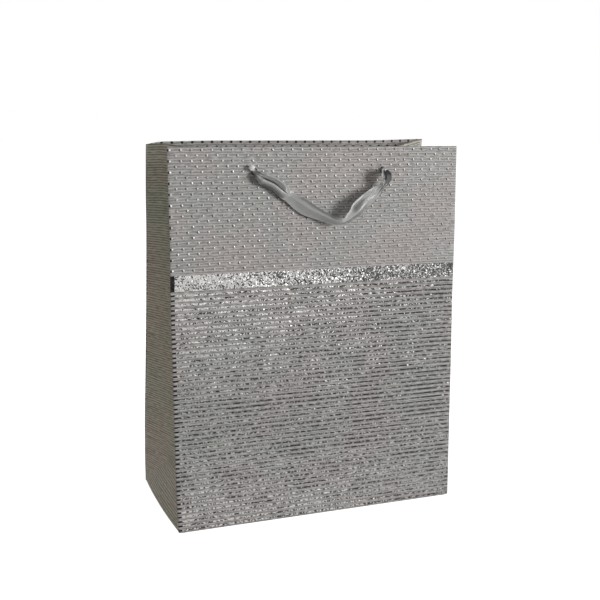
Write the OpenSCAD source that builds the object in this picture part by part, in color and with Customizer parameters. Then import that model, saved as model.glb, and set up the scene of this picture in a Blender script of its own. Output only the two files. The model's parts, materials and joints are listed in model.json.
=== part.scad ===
// Paper gift bag with side gussets and two ribbon handles.
// Origin: centre of the base, on the surface the bag stands on. +Z is up, the printed front faces -Y.

/* [Bag] */
// Width of the front and back panels
body_w = 260; // [180:5:300]
// Height of the front and back panels, measured up their slope
panel_l = 320; // [260:5:400]
// Depth of the base, which is also the full width of each side gusset
base_d = 120; // [100:2:140]
// Depth of the mouth at the rim, where the panels lean towards each other
mouth_d = 64; // [56:1:76]
// Inward reach of each gusset's centre crease at the rim
crease_in = 51; // [48:1:54]
// Inward reach of the point where a gusset's creases meet
apex_in = 24; // [20:1:28]

/* [Paper and board] */
// Thickness of the coated paper
paper_t = 0.3; // [0.2:0.05:0.4]
// Height of the hem turned in at the rim
hem_h = 36; // [30:1:45]
// Thickness of the stiffening board inside the front and back hems
top_board_t = 0.8; // [0.5:0.1:1.2]
// Height of that stiffening board
top_board_h = 32; // [26:1:34]
// Thickness of the loose board in the base
base_board_t = 1.5; // [1:0.25:2]
// Gap all round the loose board
base_board_gap = 3; // [2:0.5:5]
// Width of the glued seam strip inside the back panel
seam_w = 16; // [12:1:20]
// Reach of the front and back bottom flaps from their edges
long_flap = 74; // [66:1:85]
// Reach of the left and right bottom flaps from their edges
short_flap = 50; // [30:1:55]

/* [Ribbon handles] */
// Distance between the two handle holes of a panel
hole_spacing = 116; // [100:2:130]
// Distance of the hole centres below the rim
hole_drop = 20; // [17:1:24]
// Diameter of the punched holes
hole_d = 6; // [5.6:0.2:7]
// Width of the ribbon where it lies flat
ribbon_w = 12; // [8:0.5:15]
// Diameter of a knot
knot_d = 13; // [10:0.5:15]
// Length of the ribbon tail below a knot
tail_l = 22; // [12:1:30]

/* [Hidden] */

layer_gap = 0.05;
lean_run = (base_d - mouth_d) / 2;
lean = asin(lean_run / panel_l);
rim_z = panel_l * cos(lean);
gusset_half = base_d / 2;
// The base triangle leans inward until its tip reaches apex_in.
base_tilt = asin(apex_in / gusset_half);
apex_z = gusset_half * cos(base_tilt);
// The centre crease keeps its flat length from the apex to the rim.
crease_l = panel_l - gusset_half;
crease_top_z = apex_z + sqrt(crease_l * crease_l - pow(crease_in - apex_in, 2));

// Corners of the left gusset's front half; the other halves are mirrored from it.
base_corner = [-body_w / 2, -base_d / 2, 0];
rim_corner = [-body_w / 2, -mouth_d / 2, rim_z];
apex = [-body_w / 2 + apex_in, 0, apex_z];
crease_top = [-body_w / 2 + crease_in, 0, crease_top_z];
// Trims that keep a folded half clear of the neighbours it is creased to, as shares of its sides.
half_from = 0.02;
half_to = 0.99;
half_foot = 0.004;
hem_from = 0.07;
hem_to = 0.97;
half_rings = 10;
half_columns = 4;

// Layers inside a panel, counted inward from its outer face.
board_out = paper_t + layer_gap;
hem_out = board_out + top_board_t + layer_gap;
wall_in = hem_out + paper_t;
edge_trim = 1;
// The gussets fold back sharply behind the panels, so deeper layers stop further from the edge.
seam_trim = 2.2;
board_trim = 3;
hem_trim = 3.6;
base_layer = paper_t + layer_gap;
flap_trim = 1;
flap_mitre = 40;

// The stub of a knot ends just outside its hole, and the swinging ribbon starts beyond it.
stub_out = 1;
stub_d = 4.6;
knot_segments = 24;
tail_w = 8;
tail_t = 0.8;
ribbon_sides = 8;
ribbon_step = 0.34;
bunch_w = 4.4;
bunch_t = 2.6;
flat_t = 1.2;
bunch_share = 0.16;
// Route of a ribbon over its panel: across, below the hole line, and out from the panel's face.
ribbon_route = [
    [-58, 0, 2.6], [-57.5, 1, 4.2], [-55, 3.5, 5.5], [-49.5, 7, 5], [-42, 12, 4.5],
    [-32.5, 19.5, 4.5], [-22.5, 27, 5], [-11, 34, 6], [1, 39.5, 7.5], [10.5, 42, 9],
    [18, 41, 10], [25, 35.5, 10], [32, 29, 9.5], [40, 23, 9], [48, 18, 8.5],
    [54, 13, 8], [56.5, 8, 7.5], [57.5, 3.5, 6.5], [58, 1, 4.5], [58, 0, 2.6]
];

printed = "#a5a09e";
printed_side = "#8f8c84";
bare_paper = "#dcdad6";
grey_board = "#b3ab9d";
satin = "#8d8d90";

function mix(a, b, s) = a * (1 - s) + b * s;
function unit(v) = v / norm(v);

// A point of the folded half: along runs from its lower crease to the rim, across from the
// panel's edge to the centre crease.
function half_point(along, across) =
    mix(mix(base_corner, rim_corner, along), mix(apex, crease_top, along), across);

// Direction from the paper's outer face into the bag at that point.
function half_inward(along, across) =
    let (
        up = mix(rim_corner - base_corner, crease_top - apex, across),
        over = mix(apex, crease_top, along) - mix(base_corner, rim_corner, along)
    ) unit(cross(over, up));

// Closed shell over a grid of the folded half, between two depths below its outer face.
module half_shell(along_from, along_to, across_from, across_to, depth_from, depth_to) {
    rows = [for (i = [0:half_rings]) along_from + (along_to - along_from) * i / half_rings];
    cols = [for (j = [0:half_columns]) across_from + (across_to - across_from) * j / half_columns];
    n = half_columns + 1;
    layer = (half_rings + 1) * n;
    points = [
        for (depth = [depth_from, depth_to]) for (a = rows) for (c = cols)
            half_point(a, c) + half_inward(a, c) * depth
    ];
    outer = [
        for (i = [0:half_rings - 1]) for (j = [0:half_columns - 1])
            for (f = [[0, n, 1], [1, n, n + 1]]) [for (k = f) i * n + j + k]
    ];
    inner = [for (f = outer) [f[0] + layer, f[2] + layer, f[1] + layer]];
    border = concat(
        [for (j = [0:1:half_columns]) j],
        [for (i = [1:1:half_rings]) i * n + half_columns],
        [for (j = [half_columns - 1:-1:0]) half_rings * n + j],
        [for (i = [half_rings - 1:-1:1]) i * n]
    );
    rim = [
        for (k = [0:len(border) - 1])
            let (a = border[k], b = border[(k + 1) % len(border)])
                for (f = [[a, b, b + layer], [a, b + layer, a + layer]]) f
    ];
    polyhedron(points, concat(outer, inner, rim), convexity = 6);
}

// Puts children on the front panel: X across, Y up the slope from the base, Z out of its face.
module on_front() {
    translate([0, -base_d / 2, 0]) rotate([90 - lean, 0, 0]) children();
}

module on_back() {
    rotate([0, 0, 180]) on_front() children();
}

module handle_holes() {
    for (side = [-1, 1])
        translate([side * hole_spacing / 2, panel_l - hole_drop, -3])
            cylinder(d = hole_d, h = 4, $fn = 48);
}

module panel() {
    foot = paper_t * tan(lean);
    difference() {
        translate([-body_w / 2, foot, -paper_t])
            cube([body_w, panel_l - foot, paper_t]);
        handle_holes();
    }
}

// The turned-in hem: a strip behind the stiffening board and a cap over the board's top edge.
module panel_hem() {
    strip_w = body_w - 2 * hem_trim;
    difference() {
        union() {
            translate([-strip_w / 2, panel_l - hem_h, -hem_out - paper_t])
                cube([strip_w, hem_h, paper_t]);
            translate([-strip_w / 2, panel_l - paper_t, -hem_out])
                cube([strip_w, paper_t, hem_out - board_out + layer_gap]);
        }
        handle_holes();
    }
}

module top_board() {
    strip_w = body_w - 2 * board_trim;
    difference() {
        translate([-strip_w / 2, panel_l - base_layer - top_board_h, -board_out - top_board_t])
            cube([strip_w, top_board_h, top_board_t]);
        handle_holes();
    }
}

module gusset_wall() {
    half_shell(half_foot, 1, half_from, half_to, 0, paper_t);
}

module gusset_hem() {
    half_shell(1 - hem_h / panel_l, 1, hem_from, hem_to, base_layer, base_layer + paper_t);
}

// The triangle between a gusset's base edge and the two creases that rise to its apex.
module gusset_base() {
    foot = 2 * paper_t * tan(base_tilt);
    translate([-body_w / 2, 0, 0])
        rotate([0, base_tilt, 0]) rotate([90, 0, 90])
            linear_extrude(paper_t)
                polygon([
                    [-gusset_half + edge_trim, foot],
                    [gusset_half - edge_trim, foot],
                    [0, gusset_half - edge_trim]
                ]);
}

module long_bottom_flap(level) {
    translate([-body_w / 2 + flap_trim, -base_d / 2 + flap_trim, level * base_layer])
        cube([body_w - 2 * flap_trim, long_flap - flap_trim, paper_t]);
}

// A side flap is tucked in first, and its corners are mitred by the long flaps' folds.
module side_bottom_flap() {
    reach = body_w / 2;
    half = base_d / 2 - flap_trim;
    translate([0, 0, 2 * base_layer])
        linear_extrude(paper_t)
            polygon([
                [-reach + flap_trim, -half],
                [-reach + flap_trim + flap_mitre, -half + flap_mitre],
                [-reach + short_flap, -half + flap_mitre],
                [-reach + short_flap, half - flap_mitre],
                [-reach + flap_trim + flap_mitre, half - flap_mitre],
                [-reach + flap_trim, half]
            ]);
}

// A knot behind the hem, with the short stub through the hole and the loose tail below.
module knot(side) {
    back = wall_in + layer_gap;
    translate([side * hole_spacing / 2, panel_l - hole_drop, 0]) {
        translate([0, 0, -back - knot_d / 2]) sphere(d = knot_d, $fn = knot_segments);
        translate([0, 0, -back - knot_d / 2])
            cylinder(d = stub_d, h = back + knot_d / 2 + stub_out, $fn = knot_segments);
        translate([-tail_w / 2, -knot_d / 2 - tail_l, -back - knot_d / 2])
            cube([tail_w, tail_l + knot_d / 2, tail_t]);
    }
}

// Route points in the panel's own frame.
route = [for (p = ribbon_route) [p[0], panel_l - hole_drop - p[1], p[2]]];

// Catmull-Rom point of the route at u, counted in route points.
function route_at(u) =
    let (
        last = len(route) - 1,
        i = min(floor(u), last - 1),
        t = u - i,
        a = route[max(i - 1, 0)],
        b = route[i],
        c = route[i + 1],
        d = route[min(i + 2, last)]
    ) 0.5 * (2 * b + (c - a) * t + (2 * a - 5 * b + 4 * c - d) * t * t
        + (3 * b - a - 3 * c + d) * t * t * t);

function route_dir(u) =
    let (last = len(route) - 1)
        unit(route_at(min(u + 0.05, last)) - route_at(max(u - 0.05, 0)));

// 0 where the ribbon is bunched at a hole and 1 where it lies flat.
function spread_at(share) =
    let (s = min(1, min(share, 1 - share) / bunch_share)) s * s * (3 - 2 * s);

function ribbon_ring(u, share) =
    let (
        p = route_at(u),
        dir = share == 0 ? [0, 0, 1] : share == 1 ? [0, 0, -1] : route_dir(u),
        face = abs(dir[2]) > 0.7 ? [0, 1, 0] : [0, 0, 1],
        wide = unit(cross(dir, face)),
        thin = unit(cross(wide, dir)),
        w = mix(bunch_w, ribbon_w, spread_at(share)) / 2,
        t = mix(bunch_t, flat_t, spread_at(share)) / 2
    ) [
        for (k = [0:ribbon_sides - 1])
            let (angle = 360 * (k + 0.5) / ribbon_sides)
                p + wide * w * cos(angle) + thin * t * sin(angle)
    ];

module ribbon() {
    last = len(route) - 1;
    count = round(last / ribbon_step);
    rings = [for (i = [0:count]) ribbon_ring(last * i / count, i / count)];
    points = [for (r = rings) for (p = r) p];
    n = ribbon_sides;
    sides = [
        for (i = [0:count - 1]) for (k = [0:n - 1])
            let (a = i * n + k, b = i * n + (k + 1) % n)
                for (f = [[a, a + n, b], [b, a + n, b + n]]) f
    ];
    caps = [[for (k = [0:n - 1]) k], [for (k = [n - 1:-1:0]) count * n + k]];
    polyhedron(points, concat(sides, caps), convexity = 8);
}

module front_panel() {
    color(printed) on_front() panel();
}

module back_panel() {
    color(printed) on_back() panel();
}

module left_gusset_front() {
    color(printed_side) gusset_wall();
}

module left_gusset_rear() {
    color(printed_side) mirror([0, 1, 0]) gusset_wall();
}

module left_gusset_base() {
    color(printed_side) gusset_base();
}

module right_gusset_front() {
    color(printed_side) mirror([1, 0, 0]) gusset_wall();
}

module right_gusset_rear() {
    color(printed_side) mirror([1, 0, 0]) mirror([0, 1, 0]) gusset_wall();
}

module right_gusset_base() {
    color(printed_side) mirror([1, 0, 0]) gusset_base();
}

// The strip that closes the sheet into a tube, glued inside the back panel at its right edge.
module seam_flap() {
    color(bare_paper)
        on_back()
            translate([-body_w / 2 + seam_trim, 4, -board_out - paper_t])
                cube([seam_w, panel_l - hem_h - 6, paper_t]);
}

module front_bottom_flap() {
    color(printed_side) long_bottom_flap(1);
}

module back_bottom_flap() {
    color(printed_side) rotate([0, 0, 180]) long_bottom_flap(0);
}

module left_bottom_flap() {
    color(printed_side) side_bottom_flap();
}

module right_bottom_flap() {
    color(printed_side) mirror([1, 0, 0]) side_bottom_flap();
}

module front_hem() {
    color(printed) on_front() panel_hem();
}

module back_hem() {
    color(printed) on_back() panel_hem();
}

module left_hem_front() {
    color(printed) gusset_hem();
}

module left_hem_rear() {
    color(printed) mirror([0, 1, 0]) gusset_hem();
}

module right_hem_front() {
    color(printed) mirror([1, 0, 0]) gusset_hem();
}

module right_hem_rear() {
    color(printed) mirror([1, 0, 0]) mirror([0, 1, 0]) gusset_hem();
}

module front_top_board() {
    color(grey_board) on_front() top_board();
}

module back_top_board() {
    color(grey_board) on_back() top_board();
}

module bottom_board() {
    board_w = body_w - 2 * base_board_gap;
    board_d = base_d - 2 * base_board_gap;
    color(grey_board)
        translate([-board_w / 2, -board_d / 2, 3 * base_layer])
            cube([board_w, board_d, base_board_t]);
}

module front_ribbon() {
    color(satin) on_front() ribbon();
}

module back_ribbon() {
    color(satin) on_back() ribbon();
}

module front_left_knot() {
    color(satin) on_front() knot(-1);
}

module front_right_knot() {
    color(satin) on_front() knot(1);
}

module back_left_knot() {
    color(satin) on_back() knot(1);
}

module back_right_knot() {
    color(satin) on_back() knot(-1);
}

front_panel();
back_panel();
left_gusset_front();
left_gusset_rear();
left_gusset_base();
right_gusset_front();
right_gusset_rear();
right_gusset_base();
seam_flap();
front_bottom_flap();
back_bottom_flap();
left_bottom_flap();
right_bottom_flap();
front_hem();
back_hem();
left_hem_front();
left_hem_rear();
right_hem_front();
right_hem_rear();
front_top_board();
back_top_board();
bottom_board();
front_ribbon();
front_left_knot();
front_right_knot();
back_ribbon();
back_left_knot();
back_right_knot();
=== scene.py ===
import json
import math

import bpy
from mathutils import Matrix, Vector, noise
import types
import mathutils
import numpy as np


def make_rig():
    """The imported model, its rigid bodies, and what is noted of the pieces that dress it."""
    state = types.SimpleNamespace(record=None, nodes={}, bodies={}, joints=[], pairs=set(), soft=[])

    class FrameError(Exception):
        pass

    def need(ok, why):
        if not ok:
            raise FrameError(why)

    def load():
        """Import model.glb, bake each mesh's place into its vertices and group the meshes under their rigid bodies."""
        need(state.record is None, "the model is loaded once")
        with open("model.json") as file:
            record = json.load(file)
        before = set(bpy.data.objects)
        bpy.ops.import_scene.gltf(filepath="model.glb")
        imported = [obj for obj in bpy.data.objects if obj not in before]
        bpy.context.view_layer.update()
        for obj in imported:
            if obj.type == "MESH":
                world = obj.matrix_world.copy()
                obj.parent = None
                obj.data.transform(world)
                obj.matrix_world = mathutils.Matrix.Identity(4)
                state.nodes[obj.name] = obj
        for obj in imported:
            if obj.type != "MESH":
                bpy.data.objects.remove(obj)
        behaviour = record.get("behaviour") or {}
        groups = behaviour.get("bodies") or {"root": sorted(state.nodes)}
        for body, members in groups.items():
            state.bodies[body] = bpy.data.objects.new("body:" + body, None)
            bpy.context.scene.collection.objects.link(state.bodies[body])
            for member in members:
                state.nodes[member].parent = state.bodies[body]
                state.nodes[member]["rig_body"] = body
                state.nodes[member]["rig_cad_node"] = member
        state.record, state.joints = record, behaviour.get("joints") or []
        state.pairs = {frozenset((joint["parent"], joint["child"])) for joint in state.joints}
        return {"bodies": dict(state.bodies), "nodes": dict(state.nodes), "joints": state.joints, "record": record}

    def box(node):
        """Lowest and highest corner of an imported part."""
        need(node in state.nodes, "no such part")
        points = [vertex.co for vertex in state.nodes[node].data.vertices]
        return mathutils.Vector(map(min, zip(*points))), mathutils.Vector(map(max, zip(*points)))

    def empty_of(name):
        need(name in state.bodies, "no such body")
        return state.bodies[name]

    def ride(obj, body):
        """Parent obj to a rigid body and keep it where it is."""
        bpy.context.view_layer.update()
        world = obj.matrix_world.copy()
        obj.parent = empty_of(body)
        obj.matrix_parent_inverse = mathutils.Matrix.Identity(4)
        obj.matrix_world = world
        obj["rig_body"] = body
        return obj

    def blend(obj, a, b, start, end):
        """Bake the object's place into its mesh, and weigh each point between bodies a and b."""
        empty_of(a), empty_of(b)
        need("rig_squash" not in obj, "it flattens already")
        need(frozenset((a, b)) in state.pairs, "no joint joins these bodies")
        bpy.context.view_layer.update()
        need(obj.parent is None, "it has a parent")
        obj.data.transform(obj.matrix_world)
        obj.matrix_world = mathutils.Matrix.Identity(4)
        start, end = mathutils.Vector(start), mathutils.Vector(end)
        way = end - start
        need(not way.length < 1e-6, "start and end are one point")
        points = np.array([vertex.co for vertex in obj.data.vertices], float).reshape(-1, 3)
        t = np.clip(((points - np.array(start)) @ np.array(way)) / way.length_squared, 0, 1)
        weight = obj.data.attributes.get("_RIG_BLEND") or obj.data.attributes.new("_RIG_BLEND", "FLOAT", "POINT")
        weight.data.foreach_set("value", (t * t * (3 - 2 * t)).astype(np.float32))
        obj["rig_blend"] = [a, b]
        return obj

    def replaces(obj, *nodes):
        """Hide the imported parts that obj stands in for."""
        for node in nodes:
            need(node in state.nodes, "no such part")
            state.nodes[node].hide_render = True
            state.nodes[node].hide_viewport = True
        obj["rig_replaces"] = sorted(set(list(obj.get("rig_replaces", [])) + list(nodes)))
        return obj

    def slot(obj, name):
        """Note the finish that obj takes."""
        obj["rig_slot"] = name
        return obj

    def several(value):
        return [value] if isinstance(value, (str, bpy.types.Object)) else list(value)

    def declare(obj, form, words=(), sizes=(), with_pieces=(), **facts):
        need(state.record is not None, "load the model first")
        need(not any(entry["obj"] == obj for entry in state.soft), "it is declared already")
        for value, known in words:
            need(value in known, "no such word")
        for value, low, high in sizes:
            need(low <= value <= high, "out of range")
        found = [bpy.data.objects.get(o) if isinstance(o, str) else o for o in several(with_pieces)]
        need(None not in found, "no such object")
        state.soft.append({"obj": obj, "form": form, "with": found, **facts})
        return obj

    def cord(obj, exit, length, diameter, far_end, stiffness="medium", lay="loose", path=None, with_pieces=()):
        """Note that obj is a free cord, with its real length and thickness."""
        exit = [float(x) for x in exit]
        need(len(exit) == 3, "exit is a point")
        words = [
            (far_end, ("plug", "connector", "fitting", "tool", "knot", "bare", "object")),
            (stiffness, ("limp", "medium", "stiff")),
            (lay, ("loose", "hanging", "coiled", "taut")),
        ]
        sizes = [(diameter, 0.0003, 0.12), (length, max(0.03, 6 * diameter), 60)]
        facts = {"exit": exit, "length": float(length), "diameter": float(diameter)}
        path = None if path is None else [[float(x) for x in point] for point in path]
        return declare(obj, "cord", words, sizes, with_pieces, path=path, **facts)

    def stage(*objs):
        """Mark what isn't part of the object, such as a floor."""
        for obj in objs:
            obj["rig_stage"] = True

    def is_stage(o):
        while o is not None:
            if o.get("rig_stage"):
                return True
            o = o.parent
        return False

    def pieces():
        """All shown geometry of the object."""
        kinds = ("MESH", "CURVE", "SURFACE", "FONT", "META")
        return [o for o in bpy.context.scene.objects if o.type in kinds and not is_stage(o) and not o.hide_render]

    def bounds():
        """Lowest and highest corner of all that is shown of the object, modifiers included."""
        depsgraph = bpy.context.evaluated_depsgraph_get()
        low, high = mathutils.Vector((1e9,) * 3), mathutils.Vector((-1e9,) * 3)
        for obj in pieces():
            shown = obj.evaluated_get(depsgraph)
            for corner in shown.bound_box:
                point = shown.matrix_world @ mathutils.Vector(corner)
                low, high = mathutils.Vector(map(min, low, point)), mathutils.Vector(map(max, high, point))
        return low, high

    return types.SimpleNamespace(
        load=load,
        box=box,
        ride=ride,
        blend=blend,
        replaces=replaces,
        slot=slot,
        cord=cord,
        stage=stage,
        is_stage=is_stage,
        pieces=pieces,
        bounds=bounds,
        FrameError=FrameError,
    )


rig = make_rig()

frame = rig.load()
CAD_LOW, CAD_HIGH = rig.bounds()
MM = 0.001

# Sizes of the bag, in metres.
PANEL_LOW, PANEL_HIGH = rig.box("front_panel")
HALF_W = PANEL_HIGH.x
HALF_D = -PANEL_LOW.y
RIM_Z = PANEL_HIGH.z
PANEL_L = 320 * MM
MOUTH_HALF = 32 * MM
CREASE_IN = 51 * MM
APEX_IN = 24 * MM
PAPER = 0.3 * MM
LAYER = 0.35 * MM
BOARD = 0.8 * MM
HEM_H = 36 * MM
BOARD_H = 32 * MM
WALL = 1.55 * MM
SIDE_WALL = 0.65 * MM
HOLE_X = 58 * MM
HOLE_DROP = 20 * MM
HOLE_R = 3 * MM
HOLE_V = PANEL_L - HOLE_DROP
LONG_FLAP = 74 * MM
SHORT_FLAP = 50 * MM
RUN = HALF_D - MOUTH_HALF
APEX_Z = math.sqrt(HALF_D**2 - APEX_IN**2)
CREASE_Z = APEX_Z + math.sqrt((PANEL_L - HALF_D) ** 2 - (CREASE_IN - APEX_IN) ** 2)

# The paper curves over these lengths on the two sides of a corner fold.
FOLD_PANEL = 3.5 * MM
FOLD_SIDE = 1.6 * MM
FOLD_BULGE = 2.6 * MM
CREASE_SOFT = 1.4 * MM
BASE_ROLL = 0.6 * MM
BASE_BOW = 2.4 * MM
FLOOR_Z = -0.2 * MM

# The print, measured across the panel and down from the rim.
DOT_START = -128 * MM
DOT_PITCH = 8.593 * MM
ROW_START = 2.9 * MM
ROW_PITCH = 4.33 * MM
DOT_R = 1.2 * MM
BAND_TOP = 102.1 * MM
BAND_END = 115 * MM
STRIPE_START = 118.2 * MM
STRIPE_PITCH = 3.914 * MM
STRIPE_SHARE = 0.4
FOIL_EDGE = -126.5 * MM
# Where the foil's painted reflection is dimmest, down from the rim, and how far that dimming reaches.
REFLECTION_DIP_AT = 225 * MM
REFLECTION_DIP_REACH = 62 * MM

PANEL_UP = Vector((0, RUN, RIM_Z)) / PANEL_L
PANEL_OUT = Vector((0, -RIM_Z, RUN)) / PANEL_L

RIBBON_W = 12 * MM
RIBBON_T = 0.45 * MM
# Route of a ribbon over its panel, in mm: across, below the holes, and out from the panel's face.
RIBBON_ROUTE = [
    (-58, 0, 2.6), (-57.5, 1, 4.2), (-55, 3.5, 5.5), (-49.5, 7, 5), (-42, 12, 4.5),
    (-32.5, 19.5, 4.5), (-22.5, 27, 5), (-11, 34, 6), (1, 39.5, 7.5), (10.5, 42, 9),
    (18, 41, 10), (25, 35.5, 10), (32, 29, 9.5), (40, 23, 9), (48, 18, 8.5),
    (54, 13, 8), (56.5, 8, 7.5), (57.5, 3.5, 6.5), (58, 1, 4.5), (58, 0, 2.6),
]
# How the ribbon lies at points of its route: width in mm, tilt of its upper edge toward the viewer in
# degrees, then from 0 to 1 how far it is pleated, rolled up, hollowed, softly ridged, and folded with a
# raised lip.
RIBBON_LIE = [
    (0, 3, 0, 0.8, 0, 0, 0, 0), (1.2, 4.5, 0, 0.8, 0, 0, 0, 0), (2, 7.5, 0, 0.3, 0.5, 0, 0, 0),
    (2.7, 11, 0, 0, 1, 0, 0, 0), (4.85, 11.5, 0, 0, 1, 0, 0, 0), (5.25, 9.5, -6, 0, 0.03, 0, 0.5, 0),
    (6.4, 12.5, 4, 0, 0, 0, 1, 0), (8.2, 8, 10, 0, 0, 0, 0.8, 0), (9.3, 5.8, 25, 0, 0, 0, 0.4, 0),
    (10, 5, 20, 0, 0, 0, 0, 0.2), (10.6, 8, 6, 0, 0, 0, 0, 0.55), (11.6, 12.8, 0, 0, 0, 0, 0, 1),
    (12.8, 12.5, 12, 0, 0, 0, 0.4, 0.4), (13.9, 10.5, 10, 0.15, 0, 0, 0, 0),
    (14.9, 5.4, 0, 0.7, 0, 0.1, 0, 0), (15.7, 8.5, 0, 0.1, 0, 0.9, 0, 0),
    (16.3, 10.5, -8, 0, 0, 1, 0, 0), (17.2, 10, -8, 0, 0, 1, 0, 0),
    (17.9, 7.8, 0, 0.2, 0, 0.7, 0, 0), (18.6, 5.5, 0, 0.8, 0, 0, 0, 0), (19, 4.4, 0, 1, 0, 0, 0, 0),
]
# Stretches of a handle, measured along it from its near hole.
ROLL_FROM = 8 * MM
ROLL_TO = 35 * MM
FLAT_FROM = 42 * MM
FLAT_TO = 88 * MM
LIP_FROM = 87 * MM
LIP_TO = 118 * MM
LOOP_FROM = 136 * MM
KNOT_R = 6.5 * MM
TAIL_W = 8 * MM
TAIL_L = 22 * MM
BOARD_T = 1.5 * MM
BOARD_Z = 1.05 * MM


def mix(a, b, share):
    return a * (1 - share) + b * share


def smooth(low, high, x):
    share = min(1.0, max(0.0, (x - low) / (high - low)))
    return share * share * (3 - 2 * share)


def soft_min(a, b, width):
    """The smaller of a and b, rounded over width where they meet."""
    width = max(1e-6, min(width, 0.5 * (a + b)))
    share = min(1.0, max(0.0, 0.5 + 0.5 * (b - a) / width))
    return mix(b, a, share) - width * share * (1 - share)


def steps(start, end, count):
    """count even steps from start to end, with end left out."""
    return [start + (end - start) * i / count for i in range(count)]


# ------------ camera, light and floor

def make_camera():
    yaw, pitch, roll = math.radians(22.27), math.radians(16.08), math.radians(1.66)
    ahead = Vector((math.sin(yaw) * math.cos(pitch), math.cos(yaw) * math.cos(pitch), -math.sin(pitch)))
    level = Vector((math.cos(yaw), -math.sin(yaw), 0))
    above = level.cross(ahead)
    right = level * math.cos(roll) + above * math.sin(roll)
    up = above * math.cos(roll) - level * math.sin(roll)
    data = bpy.data.cameras.new("camera")
    data.sensor_width = 36
    data.lens = 60.51
    data.shift_y = 0.0909
    camera = bpy.data.objects.new("camera", data)
    bpy.context.scene.collection.objects.link(camera)
    turn = Matrix((right, up, -ahead)).transposed().to_4x4()
    camera.matrix_world = Matrix.Translation((-0.333, -0.8145, 0.384)) @ turn
    bpy.context.scene.camera = camera


def area_light(name, place, target, size, power, colour=(1, 1, 1)):
    data = bpy.data.lights.new(name, "AREA")
    data.shape = "RECTANGLE"
    data.size, data.size_y = size
    data.energy = power
    data.color = colour
    light = bpy.data.objects.new(name, data)
    light.location = place
    light.rotation_euler = (Vector(target) - Vector(place)).to_track_quat("-Z", "Y").to_euler()
    bpy.context.scene.collection.objects.link(light)


def make_world():
    """White where the camera looks, and a faint warm fill for everything else."""
    world = bpy.data.worlds.new("studio")
    bpy.context.scene.world = world
    world.use_nodes = True
    nodes, links = world.node_tree.nodes, world.node_tree.links
    nodes.clear()
    out = nodes.new("ShaderNodeOutputWorld")
    blend = nodes.new("ShaderNodeMixShader")
    rays = nodes.new("ShaderNodeLightPath")
    seen = nodes.new("ShaderNodeBackground")
    seen.inputs["Color"].default_value = (1, 1, 1, 1)
    fill = nodes.new("ShaderNodeBackground")
    fill.inputs["Color"].default_value = (0.97, 0.96, 0.93, 1)
    fill.inputs["Strength"].default_value = 0.1
    links.new(rays.outputs["Is Camera Ray"], blend.inputs[0])
    links.new(fill.outputs[0], blend.inputs[1])
    links.new(seen.outputs[0], blend.inputs[2])
    links.new(blend.outputs[0], out.inputs["Surface"])


def make_floor():
    """A floor as white as the background, so that only the bag shows."""
    reach = 4
    corners = [(x * reach, y * reach, FLOOR_Z) for x, y in ((-1, -1), (1, -1), (1, 1), (-1, 1))]
    mesh = bpy.data.meshes.new("floor")
    mesh.from_pydata(corners, [], [(0, 1, 2, 3)])
    floor = bpy.data.objects.new("floor", mesh)
    bpy.context.scene.collection.objects.link(floor)
    material = bpy.data.materials.new("floor")
    material.use_nodes = True
    shader = material.node_tree.nodes["Principled BSDF"]
    shader.inputs["Base Color"].default_value = (0.9, 0.9, 0.9, 1)
    shader.inputs["Roughness"].default_value = 0.9
    shader.inputs["Specular IOR Level"].default_value = 0.1
    shader.inputs["Emission Color"].default_value = (1, 1, 1, 1)
    shader.inputs["Emission Strength"].default_value = 1.0
    mesh.materials.append(material)
    floor.visible_diffuse = False
    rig.stage(floor)


def make_stage():
    bpy.context.scene.view_settings.view_transform = "Standard"
    make_world()
    area_light("key", (1.9, -1.75, 0.72), (0, 0, 0.17), (0.85, 1.1), 42)
    area_light("top", (0.1, -0.3, 1.7), (0, 0, 0), (1.4, 1.4), 3)
    area_light("front", (-0.5, -2.4, 0.9), (0, 0, 0.15), (1.2, 1.2), 3)
    area_light("left", (-1.9, 0.1, 0.5), (0, 0, 0.15), (1.0, 1.0), 3, (1, 0.95, 0.6))
    make_floor()


# ------------ node helpers

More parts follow.
